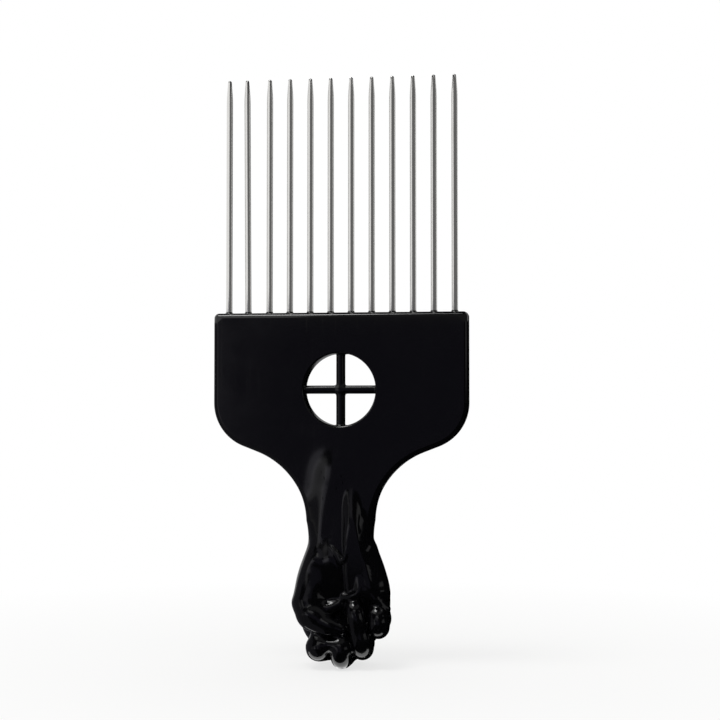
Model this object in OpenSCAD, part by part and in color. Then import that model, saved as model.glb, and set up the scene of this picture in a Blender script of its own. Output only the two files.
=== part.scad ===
// Afro pick: one moulded handle that ends in a clenched fist, and a row of long steel pins.
// Sizes are in millimetres. The pick stands upright: Z runs along its length with the pins up,
// the palm side of the fist faces -Y, and the thumb side is at -X.
// The origin is under the lowest knuckle, in the middle plane of the head.

/* [Whole pick] */
// length from the lowest knuckle to the tips of the pins
overall_length = 170; // [150:0.5:230]

/* [Head] */
// width of the head plate
head_width = 74; // [60:0.5:110]
// thickness of the head plate
head_thickness = 6.4; // [5:0.1:9]
// height of the top edge above the lowest knuckle
head_top = 101.5; // [98:0.5:130]
// rounding of the rim all round the head
rim_radius = 1.5; // [0.3:0.1:2.2]
// radius of the two lower corners
corner_radius = 13.5; // [8:0.5:18]
// height of the centres of the lower corners
corner_height = 75.6; // [70:0.5:80]
// radius of the hollow curves that lead from the shoulders into the neck
hollow_radius = 23.2; // [16:0.2:26]

/* [Window] */
// diameter of the round window
window_diameter = 20.9; // [12:0.1:26]
// height of the centre of the window
window_height = 79.3; // [76:0.1:85]
// chamfer where the window opens on both faces
window_chamfer = 0.5; // [0.1:0.1:1]
// width of the two bars that cross in the window
bar_width = 2.4; // [1.6:0.1:5]
// depth of the bars, less than the thickness of the head
bar_depth = 3.6; // [2.2:0.1:5]
// rounding along the edges of the bars
bar_rounding = 1; // [0.2:0.1:1]

/* [Pins] */
// number of pins
pin_count = 12; // [4:1:20]
// distance from one pin to the next
pin_pitch = 6; // [4:0.1:9]
// diameter of a pin
pin_diameter = 1.8; // [1.2:0.1:2.6]
// depth of a pin's root in the head
root_depth = 10; // [4:0.5:11]
// chamfer at the lower end of the root
root_chamfer = 0.3; // [0.1:0.1:0.5]
// length of the tapered tip
tip_length = 5.5; // [2:0.5:12]
// diameter of the round end of the tip
tip_diameter = 1.1; // [0.4:0.1:1.4]
// the pin that stands a little out of line in the photograph, counted from the left
stray_pin = 2; // [1:1:20]
// lean of that pin toward its left neighbour, in degrees
stray_lean = 0.4; // [0:0.1:1]
// distance of that pin's mouth from its place in the row
stray_offset = 0.3; // [0:0.1:0.6]

/* [Neck] */
// half of the width of the neck at its narrowest
neck_half_width = 9.25; // [8:0.05:11]
// height of the narrowest place of the neck
neck_height = 39.7; // [38:0.1:44]
// length over which the neck blends into the faces of the head
neck_blend = 2.4; // [1:0.1:4]

/* [Mesh of the moulding] */
// spaces between the points across each face
face_steps = 26; // [16:2:40]
// distance between the cross sections of the fist
ring_step = 1; // [0.6:0.05:2]

/* [Hidden] */
// The hand, from the wrist down. Each limb is a chain of joints: x, y, z and radius.
index_finger = [[-4.6, 5.8, 4.7, 3.9], [-5.5, -4.5, 5.6, 3.6], [-5.4, -6, 6.6, 3.3], [-5, -4, 11, 2.6]];
middle_finger = [[1.2, 6.6, 3.9, 3.7], [1.05, -4.5, 2.9, 2.9], [0.9, -6.4, 5.4, 3], [0.8, -4.4, 9.8, 2.4]];
ring_finger = [[5.4, 6.2, 5.6, 3.4], [6.85, -4.5, 5.95, 3.15], [6, -6, 11, 2.8],
    [4.9, -5.9, 16.2, 2.7], [4.6, -3.4, 18.6, 2.2]];
little_finger = [[10.4, 4.8, 13, 3.3], [11.4, -4.2, 11.8, 3.2], [11.3, -5, 14.6, 2.9], [10.6, -3, 17, 2.4]];
fingers = [index_finger, middle_finger, ring_finger, little_finger];
root_of_thumb = [[-6.2, -0.8, 29, 3.2], [-7.6, -2.3, 24.5, 4.2], [-9.2, -4.1, 18.6, 4.3]];
thumb = [[[-9, -3.6, 18.4, 4], [-7.9, -5.5, 15.2, 4], [-5.8, -6.7, 13, 2.8], [-3.2, -7.1, 11.8, 2.3]],
    [[-7.6, -3.6, 19, 2.8], [-5.6, -5.9, 15.3, 2.6], [-2.4, -6.8, 12.7, 2.4], [0.8, -6.8, 11.3, 2]]];
web_of_thumb = [[-6.8, -4.4, 20.4, 2], [-5.2, -5, 18, 2.1], [-3, -5.1, 17, 2.1], [0.2, -4.4, 18.3, 1.8]];
heel_of_thumb = [[[-5.6, -1.4, 35, 2.4], [-6.4, -2.6, 29.5, 4], [-7, -2.6, 25, 4.4],
    [-7, -2.2, 21, 4.4]], [[-2.4, -2.2, 34.5, 2.8], [-2, -3.2, 29.4, 3.6], [-1.9, -3, 24, 3.8],
    [-2, -2.6, 20.5, 3.6]]];
thumb_cord = [[0.2, 1.5, 63, 1], [-0.9, -1.9, 57.5, 3.8], [-2.6, -2.5, 50, 3.1],
    [-4.4, -3.6, 43, 1.7], [-5.2, -4.1, 36, 1.4], [-5.2, -4, 31, 1.4]];
cord_squash = 2.2;
palm_ridge = [[[2.7, -2.1, 50, 1.1], [2.9, -3.3, 46, 1.2], [3.1, -4.1, 42, 1.3], [3.2, -4.8, 38, 1.4],
    [3.3, -5, 34, 1.6], [3.6, -5, 28, 1.8], [3.8, -4.8, 23, 1.8]], [[3.4, -1.9, 51, 1.4],
    [3.6, -2.8, 46, 1.7], [3.8, -3.6, 42, 1.9], [3.9, -4.4, 38, 1.9], [4.3, -4.8, 33, 1.9],
    [5.2, -5, 28, 1.9], [5.8, -4.9, 23, 1.9]], [[4, -2.1, 49, 1.1], [4.3, -3.3, 45.5, 1.2],
    [4.5, -4.1, 42, 1.3], [4.7, -4.9, 38.5, 1.4], [5.2, -5, 35.4, 1.6], [6.9, -5, 29.9, 1.7],
    [7.9, -4.9, 23, 1.8]]];
heel_of_palm = [[7.9, 0.4, 33, 2.3], [9.8, -1.8, 25, 3.5], [10.4, -2.2, 21.5, 3.6]];
ring_fold = [[1.9, -5, 20.4, 1.1], [4.4, -5.5, 20.8, 1.2], [6, -5.6, 22, 1.1], [6.2, -5.1, 25.5, 0.9]];
little_fold = [[7.4, -4.8, 22.2, 1.1], [10.5, -4.9, 19.9, 1.3], [13.6, -3.4, 17, 1.3]];
crease_fold = [[-2, -4.9, 34.4, 0.7], [-0.2, -5.5, 32.6, 0.8], [1.2, -5.9, 30.6, 0.8],
    [2.2, -5.7, 32, 0.8], [2.5, -5.2, 35, 0.7], [2.4, -4.6, 39, 0.6]];
finger_bar = [[-7, -6, 6.9, 1.8], [-3.5, -6.8, 7, 1.9], [0, -7, 6.8, 1.9], [2.6, -6.2, 5.6, 1.7]];
palm_face = [[4, -6.2, 30], [0, -1, 0]];
heel_face = [[-4, -6.5, 31], [-0.03, -0.99, -0.1]];
thumb_face = [[-5, -9.6, 13], [-0.1, -0.98, -0.16]];

// The core of wrist and palm: its reach to the left, right, front and back at even heights.
core_bottom = 4;
core_step = 6;
core_reach = [
    [6.8, 6.8, 3, 7],
    [11, 11.8, 4.2, 8],
    [12, 13.9, 4.6, 8.3],
    [12.6, 13.8, 4.9, 7.9],
    [11.8, 11.9, 5.1, 7.2],
    [9.7, 9.8, 5.2, 6.6],
    [9, 9, 4.7, 6.2],
    [8.5, 8.5, 3.9, 5.6],
    [8, 8, 3, 4.8],
    [7.3, 7.3, 2.3, 3.8],
    [6.4, 6.4, 2, 2.8],
    [5.6, 5.6, 1.6, 2]
];
core_squareness = 2.5;
core_floor = 4.7;
core_floor_blend = 3;

// How softly the limbs run into one another, and the heights beyond which some are out of reach.
heel_blend = 1.6;
ridge_blend = 0.6;
cord_blend = 1;
fold_blend = 0.9;
finger_blend = 0.35;
fist_blend = 1;
thumb_blend = 0.8;
back_blend = 2.2;
mound_blend = 1.4;
face_edge = 0.6;
crease_blend = 0.3;
root_blend = 2;
fist_ceiling = 27;
hand_ceiling = 44;
cord_floor = 24;
neck_ceiling = 69;

// On the back of the hand a cord runs from each knuckle to the wrist.
back_cord_height = 35.2;
back_cord_depth = 4.6;
back_cord_radius = 2;
back_cord_gather = 0.45;

half_width = head_width / 2;
half_thickness = head_thickness / 2;
pin_radius = pin_diameter / 2;

// The two arcs of the outline and the straight that touches both.
corner_centre = [half_width - corner_radius, corner_height];
hollow_centre = [neck_half_width + hollow_radius, neck_height];
between = hollow_centre - corner_centre;
join_angle = atan2(between.y, between.x) + acos((corner_radius + hollow_radius) / norm(between));
join_normal = [cos(join_angle), sin(join_angle)];
join_along = [join_normal.y, -join_normal.x];
join_start = corner_centre + corner_radius * join_normal;
join_length = sqrt(pow(norm(between), 2) - pow(corner_radius + hollow_radius, 2));

function blend(a, b, k) =
    let (h = max(k - abs(a - b), 0) / k)
    min(a, b) - h * h * k / 4;

// Distance from one bone: a rounded bar between two joints.
function bone(p, a, b) =
    let (
        along = [b.x - a.x, b.y - a.y, b.z - a.z],
        from_a = [p.x - a.x, p.y - a.y, p.z - a.z],
        t = max(0, min(1, from_a * along / (along * along)))
    )
    norm(from_a - t * along) - a[3] - t * (b[3] - a[3]);

function limb(p, joints, i = 0) =
    let (here = bone(p, joints[i], joints[i + 1]))
    i + 2 < len(joints) ? min(here, limb(p, joints, i + 1)) : here;

// Distance in the flat from the outline of the head. Half of it is enough, for both sides match.
function outline_gap(x, z) =
    z > corner_centre.y ? x - half_width :
    let (s = [x, z] - join_start, along = s * join_along)
    along < 0 ? norm([x, z] - corner_centre) - corner_radius :
    along <= join_length ? s * join_normal :
    z > neck_height ? hollow_radius - norm([x, z] - hollow_centre) :
    x - neck_half_width;

// Distance from the head plate with its rounded rims. It narrows to nothing inside the wrist.
function plate(p) =
    let (
        narrowing = max(0, (neck_height + 2 - p.z) * 0.3),
        across = outline_gap(abs(p.x), p.z) + narrowing + rim_radius,
        deep = abs(p.y) - half_thickness + rim_radius,
        high = p.z - head_top + rim_radius
    )
    norm([max(across, 0), max(deep, 0), max(high, 0)]) + min(max(across, deep, high), 0) - rim_radius;

// Reach of the core at a height, on a smooth curve through the rows above.
function core_at(z) =
    let (
        last = len(core_reach) - 1,
        place = max(0, min(last - 0.001, (z - core_bottom) / core_step)),
        i = floor(place),
        u = place - i,
        a = core_reach[i],
        b = core_reach[i + 1],
        slope_a = (b - core_reach[max(i - 1, 0)]) / (i > 0 ? 2 : 1),
        slope_b = (core_reach[min(i + 2, last)] - a) / (i + 2 <= last ? 2 : 1)
    )
    a * (1 + 2 * u) * (1 - u) * (1 - u) + slope_a * u * (1 - u) * (1 - u)
    + b * u * u * (3 - 2 * u) - slope_b * u * u * (1 - u);

function core(p) =
    let (
        reach = core_at(p.z),
        wide = (reach[0] + reach[1]) / 2,
        deep = (reach[2] + reach[3]) / 2,
        x = abs(p.x - (reach[1] - reach[0]) / 2) / wide,
        y = abs(p.y - (reach[3] - reach[2]) / 2) / deep,
        out = pow(pow(x, core_squareness) + pow(y, core_squareness), 1 / core_squareness)
    )
    -blend((1 - out) * min(wide, deep), p.z - core_floor, core_floor_blend);

// A chain with twice the joints, on the cubic through the given ones, so that it bends evenly.
function slope_at(joints, i) =
    let (last = len(joints) - 1)
    (joints[min(i + 1, last)] - joints[max(i - 1, 0)]) / (i > 0 && i < last ? 2 : 1);

function smooth(joints) = [
    for (i = [0:len(joints) - 2])
        each [
            joints[i],
            (joints[i] + joints[i + 1]) / 2 + (slope_at(joints, i) - slope_at(joints, i + 1)) / 8
        ],
    joints[len(joints) - 1]
];

function total(rows, i = 0) = i + 1 < len(rows) ? rows[i] + total(rows, i + 1) : rows[i];

// A ball that holds a set of joints. A limb whose ball is out of reach is passed over.
function ball(joints) =
    let (middle = total(joints) / len(joints))
    [middle.x, middle.y, middle.z,
     max([for (j = joints) norm([j.x - middle.x, j.y - middle.y, j.z - middle.z]) + j[3]]) + 0.5];

function ball_gap(p, b) = norm([p.x - b.x, p.y - b.y, p.z - b.z]) - b[3];

// One or more limbs as [their smooth chains, their ball].
function gather(chains) = [[for (c = chains) smooth(c)], ball([for (c = chains) each c])];

function run_together(p, chains, softness, i = 0) =
    let (here = limb(p, chains[i]))
    i + 1 < len(chains) ? blend(here, run_together(p, chains, softness, i + 1), softness) : here;

function with_limbs(p, d, limbs, inner, softness) =
    ball_gap(p, limbs[1]) > d + softness ? d : blend(d, run_together(p, limbs[0], inner), softness);

// Limbs run together with a flat face.
function with_mound(p, d, limbs, face, softness) =
    ball_gap(p, limbs[1]) > d + softness ? d :
    let (shaved = -blend(-run_together(p, limbs[0], mound_blend), -((p - face[0]) * face[1]), face_edge))
    blend(d, shaved, softness);

palm_ridge_limbs = gather(palm_ridge);
heel_of_thumb_limbs = gather(heel_of_thumb);
heel_of_palm_limb = gather([heel_of_palm]);
crease_limb = gather([crease_fold]);
web_limb = gather([web_of_thumb]);
ring_fold_limb = gather([ring_fold]);
little_fold_limb = gather([little_fold]);
finger_limbs = gather(fingers);
bar_limb = gather([finger_bar]);
root_limb = gather([root_of_thumb]);
thumb_limbs = gather(thumb);

// The cord at the thumb's side is pressed flat: its reach in y is the reach in x and z over the squash.
flat_cord = [for (j = smooth(thumb_cord)) [j.x, j.y * cord_squash, j.z, j[3]]];

function with_cord(p, d) =
    p.z < cord_floor || p.x > 8 ? d :
    blend(d, limb([p.x, p.y * cord_squash, p.z], flat_cord) / cord_squash, cord_blend);

function back_cord(p, knuckle) =
    bone(p, knuckle + [0, 0.4, 0, -0.2],
         [knuckle.x * back_cord_gather, back_cord_depth, back_cord_height, back_cord_radius]);

function with_back_cords(p, d, i = 0) =
    i < len(fingers) ? with_back_cords(p, blend(d, back_cord(p, fingers[i][0]), back_blend), i + 1) : d;

function with_palm(p, d) = with_cord(p, with_mound(p, d, palm_ridge_limbs, palm_face, ridge_blend));

function with_heels(p, d) =
    p.z > hand_ceiling ? d :
    let (
        palm = with_limbs(p, d, heel_of_palm_limb, 0, back_blend),
        heel = with_mound(p, palm, heel_of_thumb_limbs, heel_face, heel_blend)
    )
    with_limbs(p, heel, crease_limb, 0, crease_blend);

function with_folds(p, d) =
    p.z > fist_ceiling ? d :
    with_limbs(p, with_limbs(p, with_limbs(p, d, web_limb, 0, fold_blend), ring_fold_limb, 0, fold_blend),
               little_fold_limb, 0, fold_blend);

function with_back(p, d) = p.z > hand_ceiling ? d : with_back_cords(p, d);

function with_fingers(p, d) =
    p.z > fist_ceiling ? d :
    with_limbs(p, with_limbs(p, d, finger_limbs, finger_blend, fist_blend), bar_limb, 0, fold_blend);

function with_thumb(p, d) =
    p.z > hand_ceiling ? d :
    let (rooted = with_limbs(p, d, root_limb, 0, root_blend))
    p.z > fist_ceiling ? rooted : with_mound(p, rooted, thumb_limbs, thumb_face, thumb_blend);

function hand(p) =
    let (wrist = with_heels(p, with_palm(p, core(p))), fist = with_back(p, with_folds(p, wrist)))
    with_thumb(p, with_fingers(p, fist));

// Distance from the whole moulding, before the window and the sockets are cut.
function moulding_gap(p) =
    p.z > neck_ceiling ? plate(p) :
    blend(plate(p), hand(p), neck_blend);

// A point of the skin: the place where a ray from inside leaves the moulding.
ray_start = 14;
ray_turns = 12;
grid = 10000;

function settle(base, way, t, turns) =
    turns == 0 ? base + t * way : settle(base, way, max(0.2, t - moulding_gap(base + t * way)), turns - 1);

function skin(base, way, reach) =
    let (p = settle(base, way, reach, ray_turns))
    [round(p.x * grid) / grid, round(p.y * grid) / grid, round(p.z * grid) / grid];

// Angles of the rays round one side: bunched at the two roundings of the rim in the head,
// even in the fist.
side_steps = 10;
rim_angle = atan((half_thickness - rim_radius) / half_thickness);
rim_angles = [
    for (i = [0:3]) -90 + rim_angle + i * (90 - 2 * rim_angle) / 3,
    for (i = [-1:1]) i * rim_angle / 2,
    for (i = [0:3]) rim_angle + i * (90 - 2 * rim_angle) / 3
];
even_angles = [for (i = [1:side_steps]) -90 + i * 180 / (side_steps + 1)];
face_fan = 22;

// One ring is [reach of its base row to the left, to the right, height, lean of the side rays,
// dip of all rays, share of fist].
function turned(way, dip) = [way.x * cos(dip), way.y * cos(dip), way.z * cos(dip) + sin(dip)];

function face_way(share, front, fist) =
    let (a = share * face_fan * fist)
    [sin(a), front * cos(a), 0];

function side_way(side, k, lean, fist) =
    let (a = (rim_angles[k] + (even_angles[k] - rim_angles[k]) * fist) * (90 - face_fan * fist) / 90)
    [side * cos(a) * cos(lean), side * sin(a), cos(a) * sin(lean)];

function base_point(r, share) = [(r[1] - r[0]) / 2 + share * (r[0] + r[1]) / 2, 0, r[2]];

function ring_points(r) = [
    for (i = [0:face_steps])
        let (s = 2 * i / face_steps - 1)
        skin(base_point(r, s), turned(face_way(s, -1, r[5]), r[4]), ray_start),
    for (k = [0:side_steps - 1])
        skin(base_point(r, 1), turned(side_way(1, k, r[3], r[5]), r[4]), ray_start),
    for (i = [0:face_steps])
        let (s = 1 - 2 * i / face_steps)
        skin(base_point(r, s), turned(face_way(s, 1, r[5]), r[4]), ray_start),
    for (k = [0:side_steps - 1])
        skin(base_point(r, -1), turned(side_way(-1, k, r[3], r[5]), r[4]), ray_start)
];

function seam_points(r) = [
    for (i = [0:face_steps])
        skin(base_point(r, 2 * i / face_steps - 1), [0, 0, r[4] > 0 ? 1 : -1], ray_start)
];

function outline_ring(p, angle) =
    let (reach = p.x - half_thickness * cos(angle))
    [reach, reach, p.y - half_thickness * sin(angle), angle, 0, 0];

// The base row of a ring of the fist keeps inside the core.
function fist_ring(z, dip, fist) =
    let (
        core_reach_here = core_at(z),
        early = min(1, fist * 3),
        left = neck_row + (core_reach_here[0] - row_inset - neck_row) * early,
        right = neck_row + (core_reach_here[1] - row_inset - neck_row) * early
    )
    [left, right, z, 0, dip, fist];

// Rings from the top of the head, round its outline, down the neck and round the fist.
corner_steps = 8;
hollow_steps = 14;
row_inset = 3.8;
last_base_height = 9;
dip_steps = 12;
top_row = head_top - half_thickness;
top_reach = half_width - half_thickness;
neck_row = neck_half_width - half_thickness;
fist_steps = round((neck_height - last_base_height) / ring_step);
top_rings = [
    for (i = [0:4])
        [top_reach, top_reach, top_row, 0, 90 - rim_angle - i * (90 - 2 * rim_angle) / 4, 0]
];
head_rings = [
    outline_ring([half_width, top_row], 0),
    outline_ring([half_width, corner_height], 0),
    for (i = [1:corner_steps])
        let (a = join_angle * i / corner_steps)
        outline_ring(corner_centre + corner_radius * [cos(a), sin(a)], a),
    for (i = [0:hollow_steps - 1])
        let (a = join_angle * (1 - i / hollow_steps))
        outline_ring(hollow_centre - hollow_radius * [cos(a), sin(a)], a)
];
fist_rings = [
    for (i = [0:fist_steps])
        fist_ring(neck_height - i * (neck_height - last_base_height) / fist_steps, 0, i / fist_steps)
];
dip_rings = [
    for (i = [1:dip_steps - 1])
        fist_ring(last_base_height, -90 * i / dip_steps, 1)
];
rings = concat(top_rings, head_rings, fist_rings, dip_rings);
ring_size = 2 * (face_steps + 1) + 2 * side_steps;

// The place on a closing seam that belongs to a place on a ring.
function seam_place(i) =
    i <= face_steps ? i :
    i <= face_steps + side_steps ? face_steps :
    i <= 2 * face_steps + side_steps + 1 ? 2 * face_steps + side_steps + 1 - i : 0;

// Each four-sided cell is split along its shorter diagonal.
function ring_faces(points, count) = [
    for (r = [0:count - 2], i = [0:ring_size - 1])
        let (
            j = (i + 1) % ring_size,
            a = r * ring_size + i,
            b = r * ring_size + j,
            c = a + ring_size,
            d = b + ring_size
        )
        each norm(points[a] - points[d]) < norm(points[b] - points[c])
            ? [[a, b, d], [a, d, c]]
            : [[a, b, c], [b, d, c]]
];

function seam_faces(ring, seam, down) = [
    for (i = [0:ring_size - 1])
        let (
            j = (i + 1) % ring_size,
            a = ring + i,
            b = ring + j,
            c = seam + seam_place(i),
            d = seam + seam_place(j)
        )
        each down
            ? (c == d ? [[a, b, c]] : [[a, b, c], [b, d, c]])
            : (c == d ? [[b, a, c]] : [[b, a, c], [d, b, c]])
];

node_pins = [for (i = [1:pin_count]) str("pin_", i < 10 ? "0" : "", i)];

module moulding() {
    count = len(rings);
    points = concat([for (r = rings) each ring_points(r)], seam_points(rings[0]), seam_points(rings[count - 1]));
    top_seam = count * ring_size;
    low_seam = top_seam + face_steps + 1;
    faces = concat(
        ring_faces(points, count),
        seam_faces(0, top_seam, false),
        seam_faces((count - 1) * ring_size, low_seam, true)
    );
    polyhedron(points, faces, convexity = 8);
}

module window_cut() {
    clear = 1;
    radius = window_diameter / 2;
    translate([0, 0, window_height])
        rotate([90, 0, 0]) {
            cylinder(h = head_thickness + 2 * clear, r = radius, center = true, $fn = 96);
            for (side = [-1, 1])
                mirror([0, 0, side < 0 ? 1 : 0])
                    translate([0, 0, half_thickness - window_chamfer])
                        cylinder(h = window_chamfer + clear, r1 = radius, r2 = radius + window_chamfer + clear,
                                 $fn = 96);
        }
}

module bar(length) {
    linear_extrude(height = length, center = true) {
        square([bar_width, bar_depth - 2 * bar_rounding], center = true);
        square([bar_width - 2 * bar_rounding, bar_depth], center = true);
        for (x = [-1, 1], y = [-1, 1])
            translate([x * (bar_width / 2 - bar_rounding), y * (bar_depth / 2 - bar_rounding)])
                circle(r = bar_rounding, $fn = 32);
    }
}

module window_cross() {
    embed = 1;
    translate([0, 0, window_height]) {
        bar(window_diameter + 2 * embed);
        rotate([0, 90, 0])
            rotate([0, 0, 90])
                bar(window_diameter + 2 * embed);
    }
}

// Puts the children at a pin's mouth in the top edge, with the stray pin's lean.
module at_pin(i) {
    stray = i + 1 == stray_pin ? 1 : 0;
    translate([(i - (pin_count - 1) / 2) * pin_pitch - stray * stray_offset, 0, head_top])
        rotate([0, -stray * stray_lean, 0])
            children();
}

module handle() {
    mouth = 1;
    color([0.03, 0.03, 0.04])
        union() {
            difference() {
                moulding();
                window_cut();
                for (i = [0:pin_count - 1])
                    at_pin(i)
                        translate([0, 0, -root_depth])
                            cylinder(h = root_depth + mouth, r = pin_radius, $fn = 48);
            }
            window_cross();
        }
}

// A turned pin. Its mouth in the head is at height 0.
module pin(i) {
    top = overall_length - head_top;
    tip_radius = tip_diameter / 2;
    tip_steps = 6;
    color([0.75, 0.76, 0.78])
        at_pin(i)
            rotate_extrude($fn = 48)
                polygon(concat(
                    [
                        [0, -root_depth],
                        [pin_radius - root_chamfer, -root_depth],
                        [pin_radius, root_chamfer - root_depth],
                        [pin_radius, top - tip_length]
                    ],
                    [
                        for (k = [0:tip_steps - 1])
                            let (a = 90 * k / tip_steps)
                            [tip_radius * cos(a), top - tip_radius * (1 - sin(a))]
                    ],
                    [[0, top]]
                ));
}

handle();
for (i = [0:pin_count - 1])
    pin(i);
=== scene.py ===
# %% [markdown]
# An afro pick is a comb with long, widely spaced pins for lifting curly hair. This one is a black plastic
# moulding, a flat head that runs down through a neck into a clenched fist, with twelve steel pins set in
# its top. The imported frame says where everything is, so it is loaded first.

# %% Load the frame
import bpy
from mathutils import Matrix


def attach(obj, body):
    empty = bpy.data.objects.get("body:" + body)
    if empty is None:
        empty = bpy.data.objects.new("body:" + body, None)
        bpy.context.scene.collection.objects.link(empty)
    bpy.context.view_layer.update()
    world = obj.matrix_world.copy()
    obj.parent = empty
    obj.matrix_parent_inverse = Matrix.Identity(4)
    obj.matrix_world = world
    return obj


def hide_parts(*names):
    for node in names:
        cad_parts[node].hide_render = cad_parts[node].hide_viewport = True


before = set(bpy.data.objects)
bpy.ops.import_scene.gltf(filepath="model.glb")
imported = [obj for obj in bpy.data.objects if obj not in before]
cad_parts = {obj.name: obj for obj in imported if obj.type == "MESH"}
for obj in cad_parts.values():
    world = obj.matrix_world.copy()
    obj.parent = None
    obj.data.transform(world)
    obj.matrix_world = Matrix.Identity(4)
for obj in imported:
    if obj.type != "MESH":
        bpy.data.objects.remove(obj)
bpy.context.view_layer.update()

# %% [markdown]
# Nothing here is pushed or pulled by hand. Each surface is worked out with numpy as whole arrays of points,
# and Blender receives the finished mesh. Modelling by eye would be as quick for one pick, but no size in it
# could be traced back or changed later.

# %% Tools
from math import atan, atan2, acos, cos, degrees, hypot, pi, radians, sin

import numpy as np
from mathutils import Vector

MM = 0.001

# %% [markdown]
# Sizes are in millimetres here and turn into metres only when a mesh is made. They are the same values that
# the CAD source drives, so the dressed handle has the shape of its solid, only drawn with far finer steps.

# %% Sizes of the head, the neck, the window and the pins
overall_length, head_top, half_width, half_thickness = 170, 101.5, 37, 3.2
rim_radius, corner_radius, hollow_radius = 1.5, 13.5, 23.2
corner_height, neck_half_width, neck_height = 75.6, 9.25, 39.7
window_radius, window_height, window_rim = 10.45, 79.3, 0.7
bar_width, bar_depth, bar_rounding = 2.4, 3.6, 1
pin_count, pin_pitch, pin_radius, root_depth = 12, 6, 0.9, 10
tip_length, tip_radius, root_chamfer = 5.5, 0.55, 0.3
stray_pin, stray_lean, stray_offset = 2, radians(0.4), 0.3
print(f"head {2 * half_width} x {2 * half_thickness} mm, {pin_count} pins, {overall_length} mm over all")

# %% [markdown]
# The moulding has hardly an edge that could be drawn: knuckles, thumb, tendons and plate all melt together.
# It could be sculpted, or built from rounded blocks under a subdivision surface. A distance field suits it
# better: a function that tells for any point how far outside the plastic it lies, in which parts join by a
# soft minimum.

# %% Soft minimum and limbs
def blend(a, b, k):
    """Smaller of two distances, less h * h * k / 4, where h falls from 1 to 0 as they come to differ by k."""
    h = np.maximum(k - np.abs(a - b), 0) / k
    return np.minimum(a, b) - h * h * k / 4


def limb(p, joints):
    """Least of |p - c| - r over a row of spheres (c, r), on the parabola through the three nearest."""
    c, r = joints[:, :3], joints[:, 3]
    gap = np.sqrt(np.maximum((p**2).sum(axis=1)[:, None] - 2 * p @ c.T + (c**2).sum(axis=1), 0)) - r
    near = np.clip(gap.argmin(axis=1), 1, len(c) - 2)[:, None]
    before, here, after = (np.take_along_axis(gap, near + n, 1)[:, 0] for n in (-1, 0, 1))
    bend = np.maximum(before - 2 * here + after, 1e-6)
    u = np.clip((before - after) / bend / 2, -1, 1)
    return here + u * (after - before) / 2 + u * u * bend / 2


def flat_limb(p, joints, squash):
    """A limb pressed flat: its reach in y is the reach in x and z over the squash."""
    return limb(p * [1, squash, 1], joints * [1, squash, 1, 1]) / squash


def cubic(a, b, slope_a, slope_b, u):
    """a (1 + 2u) (1 - u)^2 + b u^2 (3 - 2u) runs from a to b, and two more terms give it its slopes there."""
    rest = 1 - u
    return a * (1 + 2 * u) * rest**2 + slope_a * u * rest**2 + b * u**2 * (3 - 2 * u) - slope_b * u**2 * rest


def flowing(joints, steps=7):
    """A chain with more joints, on the cubic through the given ones, so that no kink shows in the gloss."""
    joints = np.array(joints, float)
    slopes = np.gradient(joints, axis=0)
    u = (np.arange(steps) / steps)[:, None]
    parts = [cubic(*ends, u) for ends in zip(joints[:-1], joints[1:], slopes[:-1], slopes[1:])]
    return np.concatenate([*parts, joints[-1:]])


def rounded(p, half, radius):
    """Distance from a rounded box: what sticks out past its inner box, less the radius of its edges."""
    out = np.abs(p) - (np.array(half) - radius)
    return np.linalg.norm(np.maximum(out, 0), axis=1) + np.minimum(out.max(axis=1), 0) - radius

# %% [markdown]
# The head is a flat plate. From the front it has straight sides, two round lower corners and hollow curves
# that run down into the neck. It could be an extruded curve with a bevel. Here the outline is a distance in
# the flat, made of lines and arcs that touch, so the plate can melt into the wrist.

# %% Outline of the head
corner_centre = np.array([half_width - corner_radius, corner_height])
hollow_centre = np.array([neck_half_width + hollow_radius, neck_height])
between = hollow_centre - corner_centre
join_angle = atan2(between[1], between[0]) + acos((corner_radius + hollow_radius) / hypot(*between))
join_normal = np.array([cos(join_angle), sin(join_angle)])
join_along = np.array([join_normal[1], -join_normal[0]])
join_start = corner_centre + corner_radius * join_normal
join_length = (hypot(*between) ** 2 - (corner_radius + hollow_radius) ** 2) ** 0.5


def outline_gap(x, z):
    """Distance in the flat from half of the outline: side, lower corner, tangent, hollow curve, neck."""
    s = np.stack([x, z], 1) - join_start
    along = s @ join_along
    corner = np.hypot(x - corner_centre[0], z - corner_centre[1]) - corner_radius
    hollow = hollow_radius - np.hypot(x - hollow_centre[0], z - hollow_centre[1])
    return np.select([z > corner_height, along < 0, along <= join_length, z > neck_height],
                     [x - half_width, corner, s @ join_normal, hollow], x - neck_half_width)


def plate(p):
    """Distance from the head plate, a slab with rounded rims that narrows to nothing inside the wrist."""
    narrowing = np.maximum(0, (neck_height + 2 - p[:, 2]) * 0.3)
    across = outline_gap(np.abs(p[:, 0]), p[:, 2]) + narrowing
    out = np.stack([across, np.abs(p[:, 1]) - half_thickness, p[:, 2] - head_top], 1) + rim_radius
    return np.linalg.norm(np.maximum(out, 0), axis=1) + np.minimum(out.max(axis=1), 0) - rim_radius


print(f"the corner's arc meets the hollow's at {degrees(join_angle):.1f} degrees")

# %% [markdown]
# The fist is a right hand seen from the palm side, hanging down from the wrist. Each finger is a chain of
# joints with the radius of the flesh at each of them, the way an armature is bent from wire before clay
# goes on. The thumb is two such chains side by side, pressed flat on top, and a bar of flesh fills the row
# of fingers under it.

# %% Fingers and thumb
def chain(*joints):
    """A limb from its joints, each given as x, y, z and the radius of the flesh there."""
    return flowing(joints)


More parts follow.
